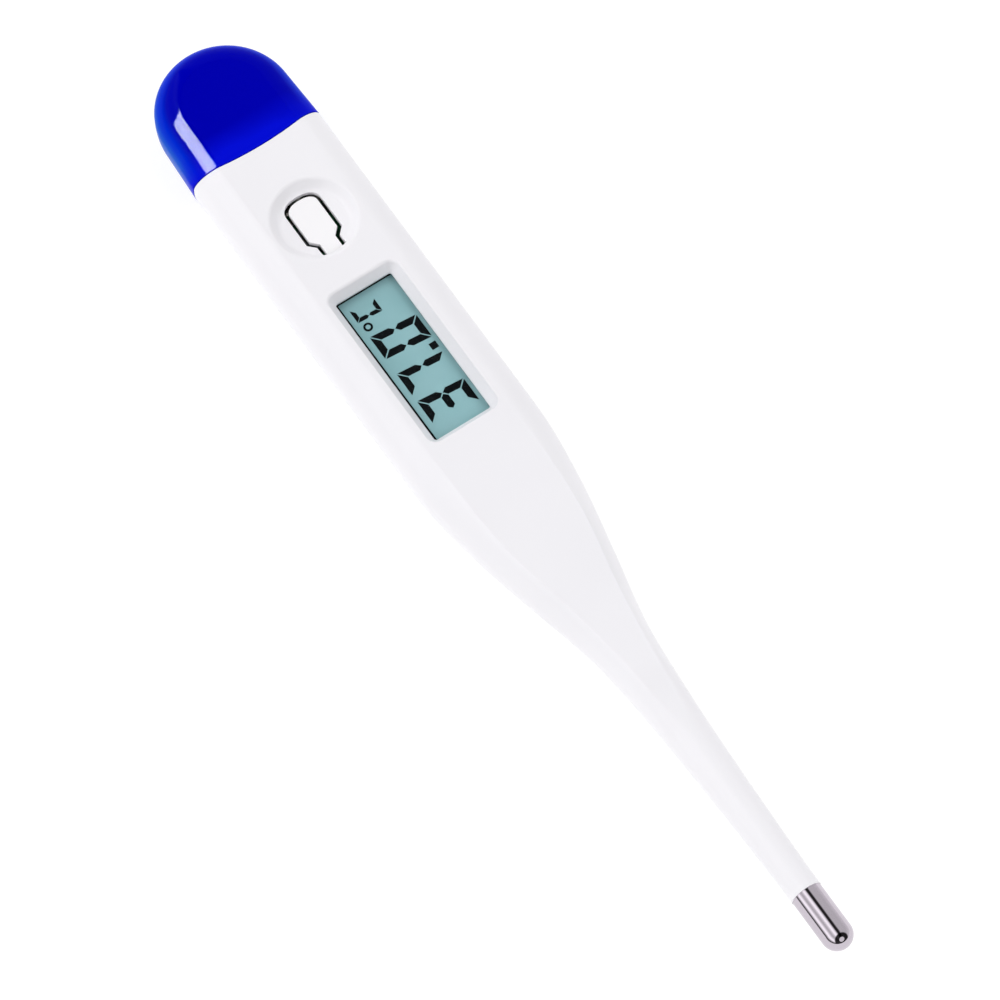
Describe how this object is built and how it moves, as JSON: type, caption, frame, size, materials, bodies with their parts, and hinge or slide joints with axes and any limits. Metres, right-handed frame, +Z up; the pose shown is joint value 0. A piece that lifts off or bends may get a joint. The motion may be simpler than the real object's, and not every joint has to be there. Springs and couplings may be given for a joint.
{
  "type": "digital thermometer",
  "caption": "Slim clinical stick thermometer with a push button, a recessed liquid crystal display, a blue pull-off battery cap and a steel-tipped probe.",
  "frame": {"origin": "under the middle of the stick's length, on the plane that its flat underside rests on", "axes": "+X along the stick from the battery cap to the metal tip, +Z up out of the display face, +Y across"},
  "size_m": [0.13, 0.0168, 0.0096],
  "materials": {
    "white_plastic": "smooth satin-gloss white ABS",
    "clear_window": "clear glossy acrylic",
    "steel_tip": "polished drawn stainless steel",
    "epoxy": "cast amber epoxy",
    "black_epoxy": "matt black",
    "red_insulation": "satin enamel insulation",
    "white_insulation": "satin enamel insulation",
    "blue_plastic": "high-gloss deep blue ABS",
    "seal_rubber": "matt silicone rubber",
    "grey_plastic": "matt light grey ABS",
    "board_laminate": "green solder resist",
    "nickel": "bright nickel plate",
    "grey_rubber": "matt silicone rubber",
    "display_film": "satin grey-teal film",
    "display_glass": "clear float glass",
    "chip_body": "tan ceramic",
    "brass": "plain brass",
    "ceramic": "silvered piezo ceramic",
    "carbon": "matt conductive rubber"
  },
  "bodies": {
    "housing": {"housing": "white_plastic", "display_window": "clear_window", "probe_tip": "steel_tip", "tip_epoxy": "epoxy", "thermistor_bead": "black_epoxy", "lead_wire_1": "red_insulation", "lead_wire_2": "white_insulation"},
    "button": {"power_button": "white_plastic"},
    "chassis": {"chassis_frame": "grey_plastic", "circuit_board": "board_laminate", "cell_can": "nickel", "cell_gasket": "black_epoxy", "cell_lid": "nickel", "negative_contact": "nickel", "positive_contact": "nickel", "display_frame": "grey_plastic", "contact_strip_1": "grey_rubber", "contact_strip_2": "grey_rubber", "lcd_reflector": "display_film", "lcd_rear_glass": "display_glass", "lcd_front_glass": "display_glass", "lcd_polariser": "display_film", "controller_chip": "black_epoxy", "chip_capacitor": "chip_body", "chip_resistor": "black_epoxy", "solder_joint_1": "nickel", "solder_joint_2": "nickel", "buzzer_plate": "brass", "buzzer_ceramic": "ceramic", "switch_pads": "brass", "switch_collar": "grey_rubber"},
    "switch": {"switch_plunger": "grey_rubber", "carbon_pill": "carbon"},
    "cap": {"battery_cap": "blue_plastic", "cap_seal": "seal_rubber"}
  },
  "joints": [
    {"name": "button_press", "type": "hinge", "parent": "housing", "child": "button", "pos_m": [-0.03435, 0, 0.0083], "axis": [0, -1, 0], "range_deg": [0, 4.3], "stiffness_Nm_per_rad": 0.03},
    {"name": "chassis_slide", "type": "slide", "parent": "housing", "child": "chassis", "axis": [-1, 0, 0], "range_m": [0, 0.01], "deforming": ["lead_wire_1", "lead_wire_2"]},
    {"name": "switch_travel", "type": "slide", "parent": "chassis", "child": "switch", "axis": [0, 0, -1], "range_m": [0, 0.00036]},
    {"name": "cap_pull", "type": "slide", "parent": "chassis", "child": "cap", "axis": [-1, 0, 0], "range_m": [0, 0.03]}
  ],
  "couplings": [
    {"joint": "switch_travel", "follows": "button_press", "m_per_rad": 0.00475}
  ]
}
